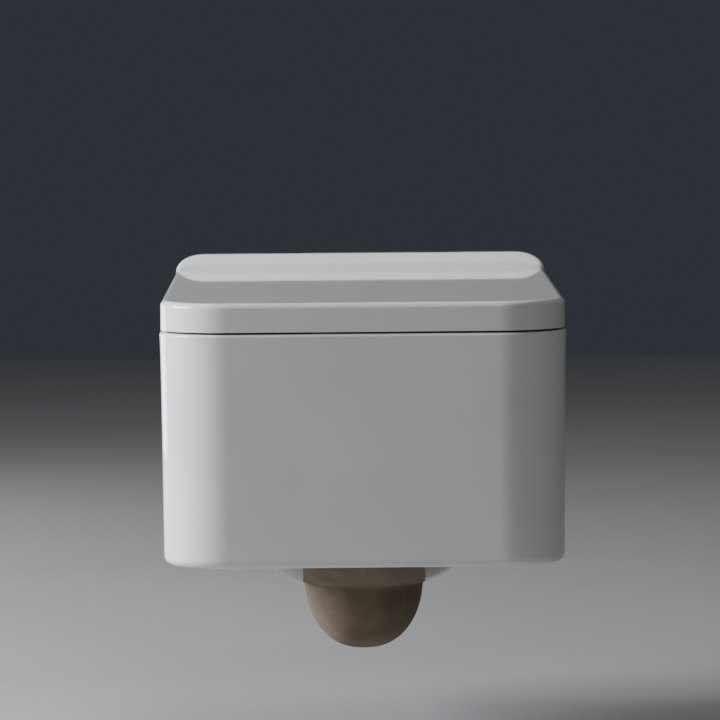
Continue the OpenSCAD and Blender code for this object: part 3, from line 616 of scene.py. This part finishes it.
seat = loft("seat_moulding", seat_rings(), loop=True)
shade(seat)
arm_line = [(-106, 85), (-92, 85)] + arc(AXIS_Y, AXIS_Z, LUG_R, -135, 128, 30)
arm_line += [(-92, 98.8), (-106, 98.8)]
seat_pieces = [seat]
for side, bore in ((-1, CLOSE_BORE), (1, LOOSE_BORE)):
    a, b = sorted((side * 91.6, side * 105.6))
    arm = extrude("seat_arm_left" if side < 0 else "seat_arm_right", arm_line, a, b)
    hole = cross_rod("hole", a - 5, b + 5, AXIS_Y, AXIS_Z, bore)
    combine(arm, [hole], "DIFFERENCE")
    discard(hole)
    shade(arm)
    seat_pieces.append(arm)
for piece in seat_pieces:
    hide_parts("seat_ring")
    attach(piece, "seat")

# %% [markdown]
# ## The release springs
# Two small coiled springs in each hinge block push the release button back. A real spring gets
# shorter, by the 3 mm that the button travels, as the button goes in; here each coil is drawn at
# its resting length and rides with the pan. The coil is a loft too, with a small ring of points
# carried round a helix.

# %% Release spring coils
WIRE_R, COIL_R, TURNS, TRAVEL = 0.18, 0.85, 4, 3


def coil(name, x, y0, y1, z, parts=24, sides=10):
    rings = []
    for k in range(TURNS * parts + 1):
        a, y = math.tau * k / parts, mix(y0 + WIRE_R, y1 - WIRE_R, k / (TURNS * parts))
        around = [math.tau * i / sides for i in range(sides)]
        ring = [(COIL_R + WIRE_R * math.cos(b), y + WIRE_R * math.sin(b)) for b in around]
        rings.append([(x + r * math.cos(a), along, z + r * math.sin(a)) for r, along in ring])
    return loft(name, rings)


springs = []
for side in ("left", "right"):
    low, high = [[c / MM for c in corner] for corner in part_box("release_spring_" + side)]
    for number, x in ((1, low[0] + COIL_R + WIRE_R), (2, high[0] - COIL_R - WIRE_R)):
        spring = coil(f"release_coil_{side}_{number}", x, low[1], high[1], (low[2] + high[2]) / 2)
        shade(spring, 80)
        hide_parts("release_spring_" + side)
        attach(spring, "pan")
        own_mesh(spring)
        springs.append(spring)

# %% [markdown]
# ## Finishes
# A colour is written as it would look on a screen, in hex, and turned into the linear values that
# light is counted in. One helper adds a shader node with its settings and links. Pattern sizes
# are real millimetres, turned into the scale of a noise node by one small function.

# %% Helpers for finishes
def colour(code):
    parts = [int(code[i : i + 2], 16) / 255 for i in (1, 3, 5)]
    return [c / 12.92 if c <= 0.04045 else ((c + 0.055) / 1.055) ** 2.4 for c in parts] + [1.0]


def node(finish, kind, values=None, links=None, **settings):
    made = finish.node_tree.nodes.new("ShaderNode" + kind)
    for key, value in settings.items():
        setattr(made, key, value)
    for key, value in (values or {}).items():
        made.inputs[key].default_value = value
    for key, source in (links or {}).items():
        finish.node_tree.links.new(source, made.inputs[key])
    return made


def per_mm(size):
    return 1 / (size * MM)


def new_finish(name, **surface):
    finish = bpy.data.materials.new(name)
    finish.use_nodes = True
    shader = finish.node_tree.nodes["Principled BSDF"]
    for key, value in surface.items():
        shader.inputs[key.replace("_", " ")].default_value = value
    place = node(finish, "TexCoord").outputs["Object"]
    return finish, shader, place


# %% [markdown]
# The glaze is a thin layer of glass over the white body. It is very smooth but never quite flat:
# it flowed while molten, so reflections waver a little over a few centimetres. Its colour drifts
# by a hair between warm and cool. Under the bowl, faces that look down are painted a darker warm
# grey: partly a thinly sprayed glaze that the body dulls, partly painted shade under the skirt.
# Where the pan stood in the kiln or touches the wall there is no glaze, and the fired clay shows:
# brown, dull and finely grained.

# %% Vitreous china: glazed, and bare where it was fired
def soft_noise(finish, place, size, detail=2.0, roughness=0.5):
    values = {"Scale": per_mm(size), "Detail": detail, "Roughness": roughness}
    return node(finish, "TexNoise", values, {"Vector": place}).outputs["Fac"]


def blend_colours(finish, factor, first, second):
    blend = node(finish, "Mix", data_type="RGBA")
    for index, value in ((0, factor), (6, first), (7, second)):
        if isinstance(value, (list, float)):
            blend.inputs[index].default_value = value
        else:
            finish.node_tree.links.new(value, blend.inputs[index])
    return blend.outputs[2]


def span(finish, value, low, high, to_low=0.0, to_high=1.0):
    values = {"From Min": low, "From Max": high, "To Min": to_low, "To Max": to_high}
    return node(finish, "MapRange", values, {"Value": value}).outputs["Result"]


def add_relief(finish, shader, layers):
    """Layers of (height in mm, noise): each is a real height of the surface."""
    last = None
    for height, noise in layers:
        links = {"Height": noise}
        if last:
            links["Normal"] = last
        last = node(finish, "Bump", {"Strength": 1.0, "Distance": height * MM}, links).outputs["Normal"]
    finish.node_tree.links.new(last, shader.inputs["Normal"])


def china(name, zones):
    """Glazed ware; zones gives where it is bare and where, if anywhere, thinly glazed faces get painted
    shade.
    """
    finish, shader, place = new_finish(name, IOR=1.52)
    bare, thin_glaze_and_shade = zones(finish, place)
    drift = span(finish, soft_noise(finish, place, 90), 0.35, 0.65)
    glaze = blend_colours(finish, drift, colour("#E9E9E8"), colour("#EFEEEA"))
    # Painted shade, partly thinly sprayed glaze: faces under the bowl turn a darker warm grey.
    if thin_glaze_and_shade:
        glaze = blend_colours(finish, thin_glaze_and_shade, glaze, colour("#9A9286"))
    blotch = span(finish, soft_noise(finish, place, 22, 4), 0.3, 0.7)
    clay = blend_colours(finish, blotch, colour("#6C5E4D"), colour("#80735D"))
    grain = span(finish, soft_noise(finish, place, 1.6, 3), 0.35, 0.75, 0.0, 0.35)
    clay = blend_colours(finish, grain, clay, colour("#52463A"))
    finish.node_tree.links.new(blend_colours(finish, bare, glaze, clay), shader.inputs["Base Color"])
    gloss = span(finish, soft_noise(finish, place, 30), 0.3, 0.7, 0.05, 0.09)
    rough = node(finish, "Mix", {0: 0.0, 3: 0.88}, {0: bare, 2: gloss}).outputs[0]
    finish.node_tree.links.new(rough, shader.inputs["Roughness"])
    ripple = soft_noise(finish, place, 45, 1)
    peel = soft_noise(finish, place, 7, 1)
    dust = soft_noise(finish, place, 1.2, 4)
    grit = node(finish, "Math", links={0: bare, 1: dust}, operation="MULTIPLY").outputs[0]
    add_relief(finish, shader, [(0.10, ripple), (0.006, peel), (0.25, grit)])
    return finish


def wall_side(finish, place):
    """Bare only on the face that lies against the wall."""
    y = node(finish, "SeparateXYZ", links={"Vector": place}).outputs["Y"]
    return span(finish, y, -0.9 * MM, -0.5 * MM), None


def kiln_side(finish, place):
    """Bare on the trap's lower and side faces and at the end of the outlet. The rest of the bowl's
    underside is thinly glazed and darkened with painted shade. Faces that look up, inside and out,
    keep their full glaze."""
    split = node(finish, "SeparateXYZ", links={"Vector": place})
    facing = node(finish, "SeparateXYZ", links={"Vector": node(finish, "TexCoord").outputs["Normal"]})
    outside = span(finish, facing.outputs["Z"], 0.05, 0.0)
    across = node(finish, "Math", links={0: split.outputs["X"]}, operation="ABSOLUTE").outputs[0]
    wander = span(finish, soft_noise(finish, place, 18, 2), 0.2, 0.8, -0.8 * MM, 0.8 * MM)
    across = node(finish, "Math", links={0: across, 1: wander}, operation="ADD").outputs[0]
    trap = span(finish, across, 57.5 * MM, 56.5 * MM)
    for limit in (
        span(finish, split.outputs["Z"], -126 * MM, -128 * MM),
        span(finish, split.outputs["Y"], -52 * MM, -54 * MM),
        outside,
    ):
        trap = node(finish, "Math", links={0: trap, 1: limit}, operation="MULTIPLY").outputs[0]
    mouth = span(finish, split.outputs["Y"], -5 * MM, -4 * MM)
    bare = node(finish, "Math", links={0: trap, 1: mouth}, operation="MAXIMUM").outputs[0]
    # Painted shade, partly thinly sprayed glaze: below the skirt's foot, faces that look down are
    # darkened.
    thin_glaze_and_shade = span(finish, split.outputs["Z"], -112 * MM, -136 * MM)
    return bare, node(finish, "Math", links={0: thin_glaze_and_shade, 1: outside}, operation="MULTIPLY").outputs[0]


glazed_body = china("vitreous_china_glazed", wall_side)
glazed_casting = china("vitreous_china_bare_under_trap", kiln_side)
pan_body.data.materials.append(glazed_body)
casting.data.materials.append(glazed_casting)

# %% [markdown]
# The seat and the lid are pressed from urea powder in a polished steel mould. The mould's polish
# gives a gloss close to the glaze, with faint long ripples but no orange peel, and a white that is
# a touch warmer and less deep than glass over clay.

# %% Urea plastic, pressed in a polished mould
urea, shader, place = new_finish("urea_plastic_polished_mould", IOR=1.54)
tint = span(urea, soft_noise(urea, place, 120), 0.35, 0.65)
urea.node_tree.links.new(
    blend_colours(urea, tint, colour("#ECEBE8"), colour("#F0EFEA")), shader.inputs["Base Color"]
)
polish = span(urea, soft_noise(urea, place, 40), 0.3, 0.7, 0.03, 0.05)
urea.node_tree.links.new(polish, shader.inputs["Roughness"])
waves, skin = soft_noise(urea, place, 60, 1), soft_noise(urea, place, 5, 1)
add_relief(urea, shader, [(0.03, waves), (0.0006, skin)])
for piece in lid_pieces + seat_pieces:
    piece.data.materials.append(urea)

# %% [markdown]
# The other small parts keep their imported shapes, because those are already exact cylinders, nuts
# and blocks. Only their finishes are new: satin nylon, black and grey rubber, zinc plated steel,
# brushed stainless steel, chrome plate on zinc, and brass.

# %% Plastics and rubbers
def moulded(name, code, darker, rough, grain_mm, height):
    """A moulded plastic or rubber: a spark eroded mould leaves fine even pits."""
    finish, shader, place = new_finish(name)
    mottle = span(finish, soft_noise(finish, place, 8, 3), 0.3, 0.7)
    finish.node_tree.links.new(
        blend_colours(finish, mottle, colour(code), colour(darker)), shader.inputs["Base Color"]
    )
    pits = soft_noise(finish, place, grain_mm, 2)
    dulled = span(finish, pits, 0.3, 0.7, rough, rough + 0.12)
    finish.node_tree.links.new(dulled, shader.inputs["Roughness"])
    add_relief(finish, shader, [(height, pits)])
    return finish


nylon = moulded("nylon_satin_moulded", "#E4E3DE", "#D9D8D2", 0.38, 0.9, 0.02)
dark_resin = moulded("acetal_dark_moulded", "#2B2C2E", "#222325", 0.35, 0.8, 0.02)
grey_rubber = moulded("rubber_grey_moulded", "#B9B9B4", "#A8A8A3", 0.62, 0.7, 0.03)
black_rubber = moulded("rubber_black_moulded", "#1E1E1F", "#2A2A2B", 0.6, 0.8, 0.04)


# %% Metals
def metal(name, code, duller, rough, streak_mm, along, height):
    """A metal with lines left by turning or brushing, stretched along one axis."""
    finish, shader, place = new_finish(name, Metallic=1.0)
    stretch = [1.0, 1.0, 1.0]
    stretch[along] = 0.06
    lined = node(finish, "Mapping", {"Scale": stretch}, {"Vector": place}).outputs["Vector"]
    lines = soft_noise(finish, lined, streak_mm, 3)
    bloom = span(finish, soft_noise(finish, place, 9, 2), 0.35, 0.7)
    finish.node_tree.links.new(
        blend_colours(finish, bloom, colour(code), colour(duller)), shader.inputs["Base Color"]
    )
    dulled = span(finish, lines, 0.3, 0.7, rough, rough + 0.1)
    finish.node_tree.links.new(dulled, shader.inputs["Roughness"])
    add_relief(finish, shader, [(height, lines)])
    return finish


steel = metal("stainless_steel_brushed", "#C3C4C6", "#B2B3B6", 0.24, 0.5, 0, 0.004)
zinc = metal("steel_zinc_plated", "#C9CDD2", "#AEB4BE", 0.34, 1.4, 1, 0.006)
chrome = metal("zinc_chrome_plated", "#DDDFE2", "#D2D5D9", 0.05, 3.0, 0, 0.001)
brass = metal("brass_turned", "#CDA766", "#B58C4C", 0.26, 0.4, 2, 0.005)

FINISHES = {
    "white_plastic": nylon,
    "dark_plastic": dark_resin,
    "grey_rubber": grey_rubber,
    "black_rubber": black_rubber,
    "brushed_steel": steel,
    "zinc_steel": zinc,
    "chrome": chrome,
    "brass": brass,
    "ceramic": glazed_body,
    "seat_plastic": urea,
}
for part in frame["record"]["subparts"]:
    carried = frame["nodes"][part["node"]]
    carried.data.materials.clear()
    carried.data.materials.append(FINISHES[part["material_slot"]])
for spring in springs:
    spring.data.materials.append(steel)

# %% [markdown]
# ## Floor and light
# A plain pale floor lies where a bathroom floor would be, 320 mm below the bolts. White glossy
# things are drawn by what they reflect, so the light is large and soft: one broad panel from the
# left shapes the corners, a weak one stands high in front, a wide one at the ceiling lights what
# faces up, and one low behind keeps the back readable. The surrounding is a quiet grey.

# %% Floor, lights and surroundings
FLOOR_Z = -320
floor_corners = ((-6000, -7000), (6000, -7000), (6000, 5000), (-6000, 5000))
floor = loft("floor", [[(x, y, z) for x, y in floor_corners] for z in (FLOOR_Z - 10, FLOOR_Z)])
floor_paint, shader, place = new_finish("pale_floor", Roughness=0.6)
floor_tone = span(floor_paint, soft_noise(floor_paint, place, 300), 0.3, 0.7)
floor_paint.node_tree.links.new(
    blend_colours(floor_paint, floor_tone, colour("#A6A5A3"), colour("#AAA9A7")),
    shader.inputs["Base Color"],
)
floor.data.materials.append(floor_paint)


def panel(name, place_mm, look_mm, wide, tall, watts, tint):
    light = bpy.data.lights.new(name, "AREA")
    light.shape, light.size, light.size_y = "RECTANGLE", wide * MM, tall * MM
    light.energy, light.color = watts, colour(tint)[:3]
    holder = bpy.data.objects.new(name, light)
    bpy.context.collection.objects.link(holder)
    holder.location = [c * MM for c in place_mm]
    away = Vector([a - b for a, b in zip(place_mm, look_mm)])
    holder.rotation_euler = away.to_track_quat("Z", "Y").to_euler()


panel("window_left", (-2600, -450, 1050), (0, -300, 0), 1700, 1200, 190, "#F2F5FF")
panel("overhead_front", (0, -2300, 2300), (0, -300, 0), 900, 700, 7, "#FFFAF2")
panel("ceiling", (0, 200, 2600), (0, 200, 0), 2600, 2200, 16, "#FFFAF2")
panel("soft_rear", (-1900, 1900, 150), (0, 0, 0), 1300, 900, 28, "#F6F8FF")
world = bpy.data.worlds.new("studio")
bpy.context.scene.world = world
world.use_nodes = True
world.node_tree.nodes["Background"].inputs["Color"].default_value = colour("#5F6770")
world.node_tree.nodes["Background"].inputs["Strength"].default_value = 0.28
